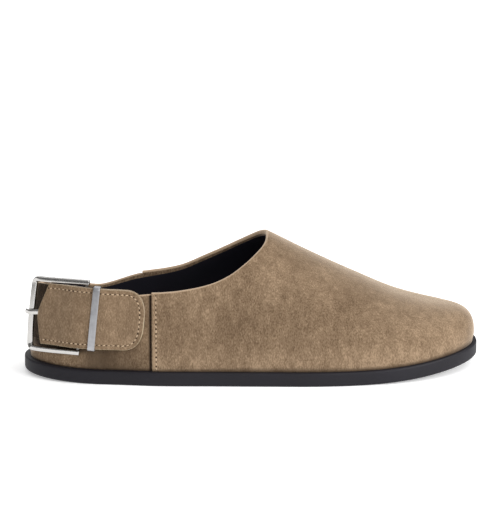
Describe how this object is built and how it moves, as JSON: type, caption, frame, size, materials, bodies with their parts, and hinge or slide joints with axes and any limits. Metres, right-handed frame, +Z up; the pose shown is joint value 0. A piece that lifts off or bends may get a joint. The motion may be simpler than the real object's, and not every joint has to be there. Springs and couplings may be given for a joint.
{
  "type": "flat mule",
  "caption": "Flat suede mule for the right foot, with a closed round toe, an open throat, a thin rubber sole and a wide buckled strap round its heel.",
  "frame": {"origin": "middle of the bounding box, on the plane that the sole rests on", "axes": "+X towards the toe, +Y towards the inner side of the foot, +Z up"},
  "size_m": [0.26, 0.0922, 0.0805],
  "materials": {
    "sole_rubber": "matt charcoal",
    "lining": "matt black navy",
    "suede": "brushed taupe suede",
    "buckle_metal": "polished nickel",
    "keeper_metal": "satin nickel"
  },
  "bodies": {
    "root": {"outsole": "sole_rubber", "insole": "lining", "upper": "suede", "heel_strap": "suede", "buckle_frame": "buckle_metal", "buckle_pin": "buckle_metal", "buckle_prong": "buckle_metal", "strap_keeper": "keeper_metal"}
  },
  "joints": []
}
